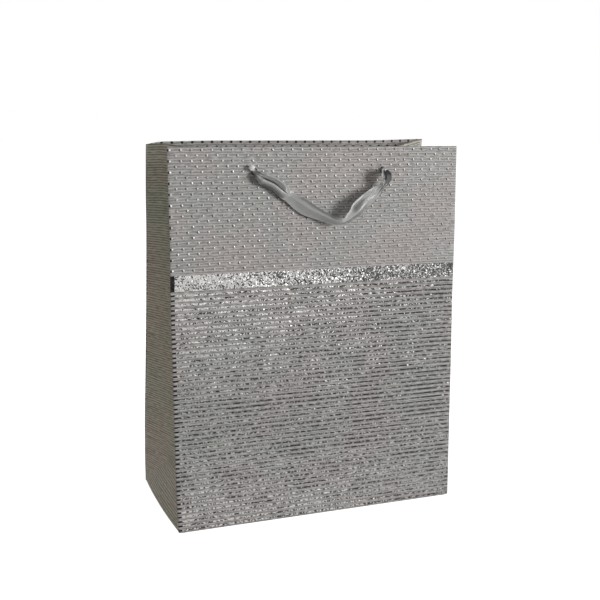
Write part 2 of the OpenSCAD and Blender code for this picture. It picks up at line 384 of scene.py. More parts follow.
class Nodes:
    """Builds one material's nodes. A value is a number, a tuple or another node's output."""

    def __init__(self, name):
        self.material = bpy.data.materials.new(name)
        self.material.use_nodes = True
        self.tree = self.material.node_tree
        self.tree.nodes.clear()

    def put(self, socket, value):
        if isinstance(value, bpy.types.NodeSocket):
            self.tree.links.new(value, socket)
        elif isinstance(value, tuple) and len(value) == 3 and socket.type == "RGBA":
            socket.default_value = (*value, 1)
        else:
            socket.default_value = value

    def add(self, kind, inputs=(), **settings):
        node = self.tree.nodes.new(kind)
        for name, value in settings.items():
            setattr(node, name, value)
        for name, value in dict(inputs).items():
            self.put(node.inputs[name], value)
        return node

    def math(self, operation, *values):
        node = self.add("ShaderNodeMath", operation=operation)
        for i, value in enumerate(values):
            self.put(node.inputs[i], value)
        return node.outputs[0]

    def times(self, first, *others):
        for value in others:
            first = self.math("MULTIPLY", first, value)
        return first

    def plus(self, first, *others):
        for value in others:
            first = self.math("ADD", first, value)
        return first

    def minus(self, a, b):
        return self.math("SUBTRACT", a, b)

    def over(self, a, b):
        return self.math("DIVIDE", a, b)

    def scaled(self, value, scale, start):
        """start + scale * value."""
        return self.math("MULTIPLY_ADD", value, scale, start)

    def off(self, value, centre):
        """How far value is from centre."""
        return self.math("ABSOLUTE", self.minus(value, centre))

    def ramp(self, value, low, high, start=0.0, end=1.0):
        """Goes smoothly from start to end as value goes from low to high."""
        node = self.add("ShaderNodeMapRange", interpolation_type="SMOOTHSTEP")
        for i, x in enumerate((value, low, high, start, end)):
            self.put(node.inputs[i], x)
        return node.outputs[0]

    def within(self, value, start, end, rise, fall):
        """0 outside start and end and 1 between them, with a soft rise and fall of these lengths."""
        return self.times(self.ramp(value, start, start + rise), self.ramp(value, end, end - fall))

    def blend(self, share, a, b, mode="MIX"):
        node = self.add("ShaderNodeMix", data_type="RGBA", blend_type=mode)
        self.put(node.inputs["Factor"], share)
        self.put(node.inputs[6], a)
        self.put(node.inputs[7], b)
        return node.outputs[2]

    def split(self, colour):
        return self.add("ShaderNodeSeparateColor", {"Color": colour}).outputs

    def vector(self, x, y, z=0.0):
        return self.add("ShaderNodeCombineXYZ", {"X": x, "Y": y, "Z": z}).outputs[0]

    def noise(self, vector, scale, detail=2.0, roughness=0.5):
        inputs = {"Vector": vector, "Scale": scale, "Detail": detail, "Roughness": roughness}
        return self.add("ShaderNodeTexNoise", inputs).outputs["Fac"]

    def streaks(self, x, y, x_scale, y_scale, detail=2.0, roughness=0.5):
        """Noise with a scale of its own in each of two directions."""
        place = self.vector(self.times(x, x_scale), self.times(y, y_scale))
        return self.noise(place, 1.0, detail, roughness)

    def bump(self, height, strength, depth):
        inputs = {"Height": height, "Strength": strength, "Distance": depth}
        return self.add("ShaderNodeBump", inputs).outputs[0]

    def shader(self, **inputs):
        named = {name.replace("_", " "): value for name, value in inputs.items()}
        node = self.add("ShaderNodeBsdfPrincipled", named)
        out = self.add("ShaderNodeOutputMaterial")
        self.tree.links.new(node.outputs[0], out.inputs["Surface"])
        return self.material

    def sheet_place(self):
        """The two coordinates of a piece's "print" UV map, in metres."""
        uv = self.add("ShaderNodeUVMap", uv_map="print").outputs[0]
        place = self.add("ShaderNodeSeparateXYZ", {0: uv}).outputs
        return place["X"], place["Y"]


# ------------ printed paper

BLACK = (0.012, 0.012, 0.013)
# The printed ground: its dark and light streaks, the tints of its patches, and how strong its waves and
# its grit are.
PANEL_GROUND = {
    "low": (0.37, 0.362, 0.355), "high": (0.655, 0.641, 0.63),
    "warm": (1.04, 0.985, 0.985), "green": (0.985, 0.997, 0.982), "wave": 0.27, "grit": 1.7,
}
SIDE_GROUND = {
    "low": (0.23, 0.224, 0.2), "high": (0.645, 0.628, 0.57),
    "warm": (1.085, 0.97, 0.94), "green": (0.96, 0.985, 0.91), "wave": 0.2, "grit": 0.9,
}


def ground(n, across, down, look):
    """Colour and bump of the printed ground: fine streaks on grey, with faint warm and green patches."""
    wobble = n.streaks(across, down, 14.0, 60.0)
    phase = n.plus(n.over(down, ROW_PITCH / 2), n.times(wobble, 0.9))
    wave = n.math("SINE", n.times(phase, 2 * math.pi))
    streak = n.streaks(across, down, 22.0, 900.0, 3.0, 0.6)
    grit = n.minus(n.streaks(across, down, 192.0, 800.0, 1.0), 0.5)
    height = n.plus(n.times(wave, look["wave"]), streak, n.times(grit, look["grit"]))
    paper = n.blend(n.ramp(height, 0.25, 0.75), look["low"], look["high"])
    patch = n.noise(n.vector(across, down), 15.0)
    tint = n.blend(n.ramp(patch, 0.38, 0.62), look["warm"], look["green"])
    return n.blend(1.0, paper, tint, "MULTIPLY"), n.bump(height, 0.25, 0.15 * MM)


def dot_cell(n, across, down):
    """Place from the centre of the nearest dot, and a pair of numbers that names the dot."""
    fall = n.minus(down, ROW_START)
    row = n.math("FLOOR", n.plus(n.over(fall, ROW_PITCH), 0.5))
    shift = n.times(n.math("FLOORED_MODULO", row, 2.0), 0.5)
    column = n.minus(n.over(n.minus(across, DOT_START), DOT_PITCH), shift)
    nearest = n.math("ROUND", column)
    x = n.times(n.minus(column, nearest), DOT_PITCH)
    y = n.minus(fall, n.times(row, ROW_PITCH))
    return x, y, n.vector(nearest, row)


def dot_mask(n, x, y, down):
    span = n.math("SQRT", n.plus(n.times(x, x), n.times(y, y)))
    in_rows = n.math("LESS_THAN", down, BAND_TOP - 1.2 * MM)
    return n.times(n.ramp(span, DOT_R + 0.12 * MM, DOT_R - 0.12 * MM), in_rows)


def line_masks(n, down):
    """Where the foil band lies, and where either it or a stripe lies."""
    band = n.within(down, BAND_TOP - 0.15 * MM, BAND_END + 0.15 * MM, 0.3 * MM, 0.3 * MM)
    cycle = n.plus(n.over(n.minus(down, STRIPE_START), STRIPE_PITCH), 0.5)
    from_middle = n.off(n.math("FRACT", cycle), 0.5)
    half = STRIPE_SHARE / 2
    under_band = n.math("GREATER_THAN", down, BAND_END + 1.2 * MM)
    on_wall = n.math("LESS_THAN", down, PANEL_L)
    stripes = n.times(n.ramp(from_middle, half + 0.04, half - 0.04), under_band, on_wall)
    return band, n.math("MAXIMUM", band, stripes)


def foil_flakes(n, across, down, band):
    """Colour of the glitter foil, with its reflection painted darker in places, and the tilt of its flakes in two
    directions.
    """
    place = n.vector(across, down)
    grain = n.add("ShaderNodeTexVoronoi", {"Vector": place, "Scale": 1120.0}, voronoi_dimensions="2D")
    random = n.split(grain.outputs["Color"])
    patch = n.streaks(across, down, 34.0, 68.0, 3.0, 0.6)
    clumps = n.plus(n.times(patch, 1.15), n.times(n.noise(place, 420.0), 0.25))
    # Painted reflection: in the middle of the striped part and towards the right, more of the foil's flakes are
    # painted dark and its light flakes dimmer, for the less light that the foil reflects there.
    reflection_dip = n.over(n.minus(down, REFLECTION_DIP_AT), REFLECTION_DIP_REACH)
    reflection_dip = n.math("EXPONENT", n.times(reflection_dip, reflection_dip, -1.0))
    right = n.times(across, n.ramp(down, 100 * MM, 300 * MM, 2.3, 0.6))
    dark_share = n.plus(right, n.scaled(reflection_dip, 0.18, n.scaled(band, -0.04, 0.52)), n.minus(0.7, clumps))
    flake = n.ramp(n.minus(random["Red"], dark_share), -0.1, 0.1)
    painted_dimming = n.math("MAXIMUM", n.times(reflection_dip, 0.95), n.ramp(across, -20 * MM, 110 * MM, 0.0, 0.85))
    light = n.blend(painted_dimming, (0.88, 0.87, 0.85), (0.55, 0.54, 0.53))
    dark = n.blend(band, (0.032, 0.032, 0.032), (0.1, 0.1, 0.1))
    tilt = [n.times(n.minus(random[channel], 0.5), 0.4) for channel in ("Green", "Blue")]
    return n.blend(flake, dark, light), tilt


def dot_finish(n, across, down, dome, dot_id, paper):
    """Colour of the dots: small pressed domes, each with a painted highlight on one side and painted shade on the
    other.
    """
    lot = n.add("ShaderNodeTexWhiteNoise", {"Vector": dot_id}, noise_dimensions="2D")
    lots = n.split(lot.outputs["Color"])
    # The domes are painted as lit from the right and above: a highlight where they face that way, shade where they
    # face away.
    slope = n.plus(n.times(dome[0], 0.8), n.times(dome[1], 0.45))
    # The painted highlights fade on the dots low on the right.
    highlight_fade = n.ramp(n.plus(n.times(across, 0.6), n.times(down, 1.3)), 0.06, 0.155)
    painted_highlight = n.times(n.ramp(slope, 0.05, 0.55), n.ramp(lots["Red"], 0.2, 0.95, 0.0, 0.95))
    painted_highlight = n.times(painted_highlight, n.scaled(highlight_fade, -0.92, 1.0))
    dark = n.times(n.ramp(slope, 0.05, -0.45), n.ramp(lots["Green"], 0.1, 0.9, 0.25, 0.95))
    colour = n.blend(dark, n.blend(0.25, paper, (0.2, 0.2, 0.2)), (0.05, 0.05, 0.05))
    return n.blend(painted_highlight, colour, (0.92, 0.91, 0.9))


def print_material(name, foil):
    """Coated paper. foil is "glitter" on the panels, "ink" on their hems and None on the gussets."""
    n = Nodes(name)
    across, up = n.sheet_place()
    down = n.times(up, -1.0)
    paper, bump = ground(n, across, down, PANEL_GROUND if foil else SIDE_GROUND)
    if foil is None:
        return n.shader(Base_Color=paper, Roughness=0.5, Normal=bump)
    x, y, dot_id = dot_cell(n, across, down)
    dots = dot_mask(n, x, y, down)
    if foil == "ink":
        return n.shader(Base_Color=n.blend(dots, paper, BLACK), Roughness=0.45, Normal=bump)

    band, lines = line_masks(n, down)
    foil_colour, tilt = foil_flakes(n, across, down, band)
    dome = (n.over(x, DOT_R), n.over(y, -DOT_R))
    dot_colour = dot_finish(n, across, down, dome, dot_id, paper)
    # On the left corner fold the foil is painted black, a painted reflection of the dark side it faces there, and a
    # dot that reaches over the edge stays whole.
    edge = n.scaled(dots, DOT_R + 0.1 * MM, across)
    inside = n.ramp(edge, FOIL_EDGE - 0.1 * MM, FOIL_EDGE + 0.1 * MM)
    covered = n.blend(inside, BLACK, n.blend(lines, dot_colour, foil_colour))
    # Stray flakes lie on the ground between the stripes too.
    strays = n.times(n.math("GREATER_THAN", down, BAND_END), inside, 0.3)
    mask = n.math("MAXIMUM", dots, lines)
    lean = [n.plus(n.times(a, lines), n.times(b, dots, 0.5)) for a, b in zip(tilt, dome)]
    slopes = n.vector(*(n.scaled(value, 0.5, 0.5) for value in lean), 1.0)
    return n.shader(
        Base_Color=n.blend(n.math("MAXIMUM", mask, strays), paper, covered),
        Metallic=n.times(n.scaled(lines, 0.18, n.times(dots, 0.15)), inside),
        Roughness=n.scaled(mask, -0.2, 0.5),
        Normal=n.add("ShaderNodeNormalMap", {"Color": slopes}, uv_map="print").outputs[0],
        Specular_IOR_Level=0.22,
    )


# ------------ plain paper, board and satin

def bare_paper_material():
    n = Nodes("bare_paper")
    place = n.add("ShaderNodeTexCoord").outputs["Object"]
    fibre = n.noise(place, 900.0, 4.0, 0.65)
    level = n.plus(n.times(fibre, 0.6), n.times(n.noise(place, 26.0), 0.4))
    colour = n.blend(n.ramp(level, 0.3, 0.7), (0.62, 0.605, 0.58), (0.74, 0.73, 0.71))
    return n.shader(Base_Color=colour, Roughness=0.75, Normal=n.bump(fibre, 0.3, 0.1 * MM))


def board_material():
    n = Nodes("grey_board")
    place = n.add("ShaderNodeTexCoord").outputs["Object"]
    fibre = n.noise(place, 700.0, 5.0, 0.7)
    speck = n.add("ShaderNodeTexVoronoi", {"Vector": place, "Scale": 420.0}).outputs["Distance"]
    colour = n.blend(n.ramp(fibre, 0.3, 0.7), (0.36, 0.335, 0.29), (0.50, 0.47, 0.42))
    colour = n.blend(n.ramp(speck, 0.16, 0.08, 0.0, 0.5), colour, (0.2, 0.18, 0.15))
    colour = n.blend(n.times(n.noise(place, 18.0), 0.25), colour, (0.6, 0.57, 0.52))
    return n.shader(Base_Color=colour, Roughness=0.85, Normal=n.bump(fibre, 0.5, 0.2 * MM))


def satin_material(name, light=0.0, folded=False):
    """Grey satin: fine threads along the ribbon, woven edges painted a little lighter as a highlight, and a soft
    sheen.
    light paints it paler as a painted highlight, and folded paints shade and highlights on the folds of a handle."""
    n = Nodes(name)
    across, along = n.sheet_place()
    thread = n.streaks(across, along, 5200.0, 90.0, 3.0, 0.6)
    pick = n.math("SINE", n.times(along, 2 * math.pi / (0.42 * MM)))
    # Painted highlight: the woven edges are painted lighter.
    edge = n.ramp(n.math("ABSOLUTE", across), RIBBON_W * 0.41, RIBBON_W * 0.46)
    base = n.blend(n.ramp(thread, 0.3, 0.7), (0.39, 0.39, 0.386), (0.52, 0.52, 0.514))
    base = n.blend(n.times(edge, 0.3), base, (0.6, 0.6, 0.59))
    # light blends in a painted highlight.
    base = n.blend(light, base, (0.95, 0.95, 0.94))
    if folded:
        base = shade_folds(n, base, across, along)
    bump = n.bump(n.plus(thread, n.times(pick, 0.12)), 0.35, 0.1 * MM)
    return n.shader(
        Base_Color=base, Roughness=0.26, Normal=bump,
        Anisotropic=0.5, Sheen_Weight=0.15, Sheen_Roughness=0.4,
    )


def shade_folds(n, base, across, along):
    """Darkens a handle's folds where little light gets in, and brightens the edges that catch it."""
    in_roll = n.within(along, ROLL_FROM, ROLL_TO, 4 * MM, 3 * MM)
    from_slit = n.off(across, 0.2 * MM)
    near_mouth = n.times(n.ramp(along, ROLL_FROM + 10 * MM, ROLL_TO - 5 * MM), in_roll)
    mouth = n.times(n.ramp(from_slit, 1.6 * MM, 1.0 * MM), near_mouth)
    slit = n.times(n.ramp(from_slit, 0.75 * MM, 0.3 * MM), in_roll)
    under = n.times(n.ramp(across, -2.4 * MM, -4.2 * MM), in_roll)

    in_flat = n.within(along, FLAT_FROM, FLAT_TO, 8 * MM, 8 * MM)
    away = n.times(n.ramp(across, 2.6 * MM, 4.8 * MM), in_flat)

    in_lip = n.within(along, LIP_FROM, LIP_TO, 3 * MM, 5 * MM)
    deep = n.times(n.ramp(along, LIP_FROM + 11 * MM, LIP_FROM + 18 * MM), in_lip)
    lip = n.times(n.ramp(across, 3.9 * MM, 4.6 * MM), in_lip)
    valley = n.times(n.ramp(n.off(across, 1.6 * MM), 3.2 * MM, 1.4 * MM), deep)
    shallow = n.times(n.ramp(across, -2.2 * MM, -1 * MM), n.minus(in_lip, deep))
    below = n.times(n.ramp(across, -2.4 * MM, -3.2 * MM), in_lip)
    ridge = n.times(n.ramp(n.off(across, -2.1 * MM), 0.9 * MM, 0.4 * MM), in_lip)

    in_loop = n.ramp(along, LOOP_FROM, LOOP_FROM + 5 * MM)
    crushed = n.times(n.ramp(across, 3 * MM, 1.6 * MM), in_loop)
    strand = n.times(n.ramp(across, 3.4 * MM, 4.2 * MM), in_loop)
    past_bend = n.ramp(along, LOOP_FROM + 3 * MM, LOOP_FROM + 6 * MM)
    hollow = n.times(n.ramp(n.off(across, 0.4 * MM), 2.6 * MM, 1.3 * MM), past_bend)
    hollow = n.math("MAXIMUM", hollow, n.ramp(along, LOOP_FROM + 9 * MM, LOOP_FROM + 12 * MM))

    shades = [
        (lip, 0.9, (0.97, 0.97, 0.96)), (valley, 0.5, (0.1, 0.1, 0.1)),
        (shallow, 0.5, (0.85, 0.85, 0.84)), (below, 0.6, (0.1, 0.1, 0.1)),
        (ridge, 0.3, (0.95, 0.95, 0.94)), (under, 0.6, (0.08, 0.08, 0.08)),
        (away, 0.55, (0.1, 0.1, 0.1)), (mouth, 0.6, (0.9, 0.9, 0.88)),
        (slit, 0.85, (0.02, 0.02, 0.02)), (crushed, 0.55, (0.05, 0.055, 0.055)),
        (hollow, 0.9, (0.01, 0.01, 0.01)), (strand, 0.6, (0.9, 0.9, 0.89)),
    ]
    for mask, strength, colour in shades:
        base = n.blend(n.times(mask, strength), base, colour)
    return base


PANEL_PRINT = print_material("panel_print", "glitter")
HEM_PRINT = print_material("hem_print", "ink")
SIDE_PRINT = print_material("side_print", None)
BARE_PAPER = bare_paper_material()
GREY_BOARD = board_material()
SATIN = satin_material("satin")
HANDLE_SATIN = satin_material("handle_satin", folded=True)
# A paler copy of the satin: a painted highlight for the gathered stub outside the left hole.
GLINT_PAINTED_SATIN = satin_material("lit_satin", light=0.9)


# ------------ shape of the folded sheet

def side_at(w, v):
    """Outer face of the left gusset: w across it from its centre crease, v up from the base fold."""
    across = (HALF_D - abs(w)) / HALF_D
    soft_w = abs(w) if abs(w) > CREASE_SOFT else (w * w / CREASE_SOFT + CREASE_SOFT) / 2
    from_edge = max(0.0, HALF_D - soft_w)
    q = soft_min(from_edge, max(0.0, v), 2.2 * MM)
    along = max(0.0, v - q) / (PANEL_L - q)
    share = q / HALF_D
    inward = mix(0.0, mix(APEX_IN, CREASE_IN, along), share)
    inward -= BASE_BOW * (1 - (w / HALF_D) ** 2) * math.exp(-v / (16 * MM))
    height = mix(RIM_Z * along, mix(APEX_Z, CREASE_Z, along), share)
    y = math.copysign((HALF_D - RUN * along) * (1 - across), w)
    return Vector((-HALF_W + inward, y, height))


def panel_at(s, v):
    """Outer face of the front panel, round both corner folds: s across from its middle."""
    side = -1 if s < 0 else 1
    reach = abs(s)
    flat = HALF_W - FOLD_PANEL
    y, z = -HALF_D + RUN * v / PANEL_L, RIM_Z * v / PANEL_L
    if reach <= flat:
        return Vector((s, y, z))
    t = (reach - flat) / (FOLD_PANEL + FOLD_SIDE)
    corner = Vector((-HALF_W, y, z))
    start = Vector((-flat, y, z))
    end = side_at(-HALF_D + FOLD_SIDE, v)
    # A sharper fold stands out further, because its paper can't bend to a point.
    corner.x -= FOLD_BULGE * max(0.0, (end - corner).normalized().x)
    p = start * (1 - t) ** 2 + corner * (2 * t * (1 - t)) + end * t * t
    return p if side < 0 else Vector((-p.x, p.y, p.z))


def frame_at(at, u, v):
    """Point, unit vector up the paper, and unit vector into the bag."""
    step = 0.2 * MM
    low = max(v - step, 0.0)
    up = (at(u, v + step) - at(u, low)).normalized()
    over = at(u + step, v) - at(u - step, v)
    inward = over.cross(up) if at is side_at else up.cross(over)
    return at(u, v), up, inward.normalized()


def rim_wall(kind, u):
    """Thickness of the layers under the rim's fold."""
    if kind == "side":
        return SIDE_WALL
    return mix(WALL, SIDE_WALL, smooth(HALF_W - 6 * MM, HALF_W - 1 * MM, abs(u)))


def folded(kind, u, row, depth):
    """A point of the sheet at depth under its printed face. row is (part, value): up the wall,
    round the rim, down the hem, or round the base fold."""
    at = side_at if kind == "side" else panel_at
    part, value = row
    roll = rim_wall(kind, u) / 2
    top = PANEL_L - roll
    if part == "wall":
        p, _, inward = frame_at(at, u, mix(base_start(kind, u), top, value))
        return p + inward * depth
    if part == "base":
        start = base_start(kind, u)
        p, up, inward = frame_at(at, u, start)
        turn = value * (math.pi / 2 - math.asin(inward.z))
        centre = p + inward * BASE_ROLL
        return centre - (inward * math.cos(turn) + up * math.sin(turn)) * (BASE_ROLL - depth)
    if part == "rim":
        p, up, inward = frame_at(at, u, top)
        turn = value * math.pi
        return p + inward * roll + (up * math.sin(turn) - inward * math.cos(turn)) * (roll - depth)
    p, _, inward = frame_at(at, u, top - value)
    return p + inward * (2 * roll - depth)


def base_start(kind, u):
    """How far up the wall the fold to the bottom starts, so that it ends level with its layer."""
    at = side_at if kind == "side" else panel_at
    _, up, inward = frame_at(at, u, 2 * MM)
    inner = 1.0 if kind == "side" else smooth(HALF_W - FOLD_PANEL, HALF_W + FOLD_SIDE, abs(u))
    return (BASE_ROLL * (1 - inward.z) + 2 * LAYER * inner) / up.z


def sheet_down(kind, u, row):
    """Distance down from the rim along the paper, for the print."""
    part, value = row
    roll = rim_wall(kind, u) / 2
    if part == "wall":
        start = base_start(kind, u)
        return (1 - value) * (PANEL_L - roll - start) + roll * math.pi / 2
    if part == "base":
        return PANEL_L - base_start(kind, u) + roll * (math.pi / 2 - 1) + BASE_ROLL * value * math.pi / 2
    if part == "rim":
        return roll * math.pi * (0.5 - value)
    return -value - roll * math.pi / 2


def settle(p):
    """Slow waves in the paper between the stiff rim and the base."""
    window = smooth(0.01, 0.06, p.z) * smooth(0.282, 0.24, p.z)
    side = 1.0 if p.y > 0 else -1.0
    wave = noise.noise(Vector((p.x * 11, side * 3.1, p.z * 9)))
    wave += 0.35 * noise.noise(Vector((p.x * 31, side * 7.7, p.z * 24)))
    edge = smooth(HALF_W, HALF_W * 0.8, abs(p.x))
    moved = p.copy()
    moved.y += 0.8 * MM * wave * window * edge
    left = smooth(-0.06, -0.13, p.x)
    sway = noise.noise(Vector((p.y * 16, 2.3, p.z * 12)))
    moved.x += 0.9 * MM * sway * window * smooth(0.08, 0.1, abs(p.x))
    moved.x -= 0.7 * MM * left * smooth(0.0, 0.03, p.z) * smooth(0.3, 0.1, p.z)
    # The back panel leans a little to the left, so one of its top corners is lower than the other.
    back = smooth(0.0, 0.02, p.y) * smooth(0.15, 0.32, p.z)
    drop = 0.7 * MM * smooth(-0.07, -0.12, p.x) + 2.2 * MM * smooth(-0.116, -0.131, p.x)
    moved.z += back * (1.2 * MM * smooth(0.07, 0.13, p.x) - drop)
    moved.x -= 1.6 * MM * back * smooth(-0.07, -0.13, p.x)
    return moved


def turned(p, flip):
    """A point of a front piece, or of its turned copy on the back when flip is set."""
    return Vector((-p.x, -p.y, p.z)) if flip else p


# ------------ meshes

def link(name, mesh, materials, body, slot, replaced):
    for material in materials:
        mesh.materials.append(material)
    obj = bpy.data.objects.new(name, mesh)
    bpy.context.scene.collection.objects.link(obj)
    if body:
        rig.ride(obj, body)
    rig.slot(obj, slot)
    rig.replaces(obj, *replaced)
    return obj


def shell(name, flat_points, flat_faces, place, thickness, print_uv, materials, slot, replaced):
    """Closed sheet: flat_points are (u, row) pairs, place(u, row, depth) puts them in space, and
    print_uv(u, row) gives the print's coordinates. The printed face has the first material."""
    outer = [place(u, row, 0.0) for u, row in flat_points]
    inner = [place(u, row, thickness) for u, row in flat_points]
    count = len(flat_points)
    edges = [(a, b) for face in flat_faces for a, b in zip(face, face[1:] + face[:1])]
    known = set(edges)
    border = [(a, b) for a, b in edges if (b, a) not in known]
    faces = [tuple(face) for face in flat_faces]
    faces += [tuple(i + count for i in reversed(face)) for face in flat_faces]
    faces += [(b, a, a + count, b + count) for a, b in border]
    mesh = bpy.data.meshes.new(name)
    mesh.from_pydata(outer + inner, [], faces)
    uv = mesh.uv_layers.new(name="print")
    spots = [print_uv(u, row) for u, row in flat_points]
    for loop in mesh.loops:
        uv.data[loop.index].uv = spots[loop.vertex_index % count]
    for i, polygon in enumerate(mesh.polygons):
        polygon.use_smooth = True
        polygon.material_index = 0 if i < len(flat_faces) or len(materials) == 1 else 1
    sharp = {tuple(sorted(edge)) for edge in border}
    sharp |= {(a + count, b + count) for a, b in sharp}
    for edge in mesh.edges:
        edge.use_edge_sharp = tuple(sorted(edge.vertices)) in sharp
    mesh.validate()
    link(name, mesh, materials, "bag", slot, replaced)


def grid(columns, rows):
    """Flat points and faces of a grid."""
    points = [(u, row) for row in rows for u in columns]
    wide = len(columns)
    faces = [
        (i * wide + j, i * wide + j + 1, (i + 1) * wide + j + 1, (i + 1) * wide + j)
        for i in range(len(rows) - 1)
        for j in range(wide - 1)
    ]
    return points, faces


def punch(points, faces, height_of, row_at):
    """Replaces the square of cells round each handle hole by rings that end at the hole's edge.
    height_of gives a row's height up the wall, and row_at the row at a height."""
    for hole_u in (-HOLE_X, HOLE_X):
        def inside(face):
            us = [points[i][0] for i in face]
            vs = [height_of(points[i][1]) for i in face]
            return abs(sum(us) / 4 - hole_u) < 6 * MM and abs(sum(vs) / 4 - HOLE_V) < 6 * MM

        removed = [f for f in faces if len(f) == 4 and inside(f)]
        faces = [f for f in faces if f not in removed]
        edges = {(f[k], f[(k + 1) % 4]) for f in removed for k in range(4)}
        border = [e for e in edges if (e[1], e[0]) not in edges]
        after = dict(border)
        loop = [border[0][0]]
        while after[loop[-1]] != loop[0]:
            loop.append(after[loop[-1]])
        rings = [loop]
        for share in (0.5, 1.0):
            ring = []
            for i in loop:
                u, v = points[i][0] - hole_u, height_of(points[i][1]) - HOLE_V
                scale = mix(1.0, HOLE_R / math.hypot(u, v), share)
                points.append((hole_u + u * scale, row_at(HOLE_V + v * scale)))
                ring.append(len(points) - 1)
            rings.append(ring)
        for a, b in zip(rings, rings[1:]):
            for k in range(len(loop)):
                m = (k + 1) % len(loop)
                faces.append((a[k], a[m], b[m], b[k]))
    return faces


def hole_columns(limit):
    """Columns across a panel that leave a fine square round each handle hole."""
    half = [u * MM for u in (0, 6, 12, 18, 24, 30, 36, 42, 47)]
    half += [HOLE_X + k * 1.5 * MM for k in range(-4, 5)]
    half += steps(70 * MM, limit, 9) + [limit]
    return [-u for u in reversed(half) if u > 0] + half


# ------------ paper pieces

PRINTED_PANEL = [PANEL_PRINT, BARE_PAPER]
PRINTED_HEM = [HEM_PRINT, BARE_PAPER]
PRINTED_SIDE = [SIDE_PRINT, BARE_PAPER]
HOLE_HEIGHTS = [HOLE_V + k * 1.5 * MM for k in range(-4, 5)]
BASE_ROWS = [("base", k / 5) for k in (5, 4, 3, 2, 1)]
OUTER_RIM_ROWS = [("rim", k / 12) for k in (1, 2, 3, 4, 5, 6)]
INNER_RIM_ROWS = [("rim", k / 12) for k in (6, 7, 8, 9, 10, 11)]


def sheet_place(kind, flip, under=0.0):
    """A function that puts a point of the sheet in space, this far under the sheet's own layer."""
    def place(u, row, depth):
        return settle(turned(folded(kind, u, row, under + depth), flip))

    return place


def panel_uv(u, row):
    return u, -sheet_down("panel", u, row)


def side_uv(w, row):
    return -HALF_W - HALF_D - w, -sheet_down("side", w, row)


def side_columns(limit, count):
    """Columns across a gusset, which lie closest at its centre crease."""
    half = [w * MM for w in (0, 0.5, 1.0, 1.6, 2.6, 4)] + steps(6 * MM, limit, count) + [limit]
    return [-w for w in reversed(half) if w > 0] + half


def side_grid(columns, rows):
    """A gusset's columns run from front to back, so seen from outside they run right to left."""
    points, faces = grid(columns, rows)
    return points, [tuple(reversed(f)) for f in faces]


def panel_sheet(which, flip):
    fold = [HALF_W - FOLD_PANEL + (FOLD_PANEL + FOLD_SIDE) * k / 10 for k in range(1, 11)]
    columns = [-u for u in reversed(fold)] + hole_columns(HALF_W - FOLD_PANEL) + fold
    low, high = base_start("panel", 0), PANEL_L - WALL / 2
    heights = steps(low, 288 * MM, 56) + [288 * MM, 291 * MM]
    heights += HOLE_HEIGHTS + [309 * MM, 313 * MM, 317 * MM, high]

    def row_at(v):
        return "wall", (v - low) / (high - low)

    def height_of(row):
        return mix(low, high, row[1]) if row[0] == "wall" else -1.0

    points, faces = grid(columns, BASE_ROWS + [row_at(v) for v in heights] + OUTER_RIM_ROWS)
    faces = punch(points, faces, height_of, row_at)
    name, place = f"{which}_panel", sheet_place("panel", flip)
    shell(f"{name}_sheet", points, faces, place, PAPER, panel_uv, PRINTED_PANEL, "printed_paper", [name])


def gusset_sheet(which, flip):
    heights = steps(0.0, 66 * MM, 44) + steps(66 * MM, PANEL_L, 46) + [PANEL_L]
    rows = BASE_ROWS + [("wall", v / PANEL_L) for v in heights] + OUTER_RIM_ROWS
    points, faces = side_grid(side_columns(HALF_D - FOLD_SIDE, 26), rows)
    name, place = f"{which}_gusset", sheet_place("side", flip)
    nodes = [f"{name}_{part}" for part in ("front", "rear", "base")]
    shell(f"{name}_sheet", points, faces, place, PAPER, side_uv, PRINTED_SIDE, "printed_paper", nodes)


def panel_hem_sheet(which, flip):
    top = PANEL_L - WALL / 2
    drops = [0.0, 4 * MM, 8 * MM, 11 * MM]
    drops += [top - HOLE_V + k * 1.5 * MM for k in range(-4, 5)] + [29 * MM, HEM_H]

    def height_of(row):
        return top - row[1] if row[0] == "hem" else -1.0

    rows = INNER_RIM_ROWS + [("hem", drop) for drop in drops]
    points, faces = grid(hole_columns(HALF_W - 3.8 * MM), rows)
    faces = punch(points, faces, height_of, lambda v: ("hem", top - v))
    name, place = f"{which}_hem", sheet_place("panel", flip)
    shell(f"{name}_sheet", points, faces, place, PAPER, panel_uv, PRINTED_HEM, "printed_hem", [name])


def side_hem_sheet(which, flip):
    rows = INNER_RIM_ROWS + [("hem", drop) for drop in steps(0.0, HEM_H, 9) + [HEM_H]]
    points, faces = side_grid(side_columns(HALF_D - 5.2 * MM, 20), rows)
    name, place = f"{which}_hem", sheet_place("side", flip)
    nodes = [f"{name}_{part}" for part in ("front", "rear")]
    shell(f"{name}_sheet", points, faces, place, PAPER, side_uv, PRINTED_SIDE, "printed_hem", nodes)


def seam_sheet():
    """The glued strip inside the back panel, along its edge by the right gusset."""
    start, end = -127.8 * MM, -111.8 * MM
    points, faces = grid(steps(start, end, 6) + [end], [("wall", k / 60) for k in range(1, 54)])
    place = sheet_place("panel", True, LAYER)
    shell("seam_strip", points, faces, place, PAPER, panel_uv, PRINTED_SIDE, "bare_paper", ["seam_flap"])


def top_board_sheet(which, flip):
    low, high = PANEL_L - 0.6 * MM - BOARD_H, PANEL_L - 0.9 * MM
    heights = [low, 290 * MM] + HOLE_HEIGHTS + [311 * MM, 316 * MM, high]
    points, faces = grid(hole_columns(HALF_W - 3.2 * MM), [("wall", v) for v in heights])
    faces = punch(points, faces, lambda row: row[1], lambda v: ("wall", v))

    def place(u, row, depth):
        p, _, inward = frame_at(panel_at, u, row[1])
        return settle(turned(p + inward * (LAYER + depth), flip))

    name, nodes = f"{which}_stiffener", [f"{which}_top_board"]
    shell(name, points, faces, place, BOARD, lambda u, row: (u, row[1]), [GREY_BOARD], "grey_board", nodes)


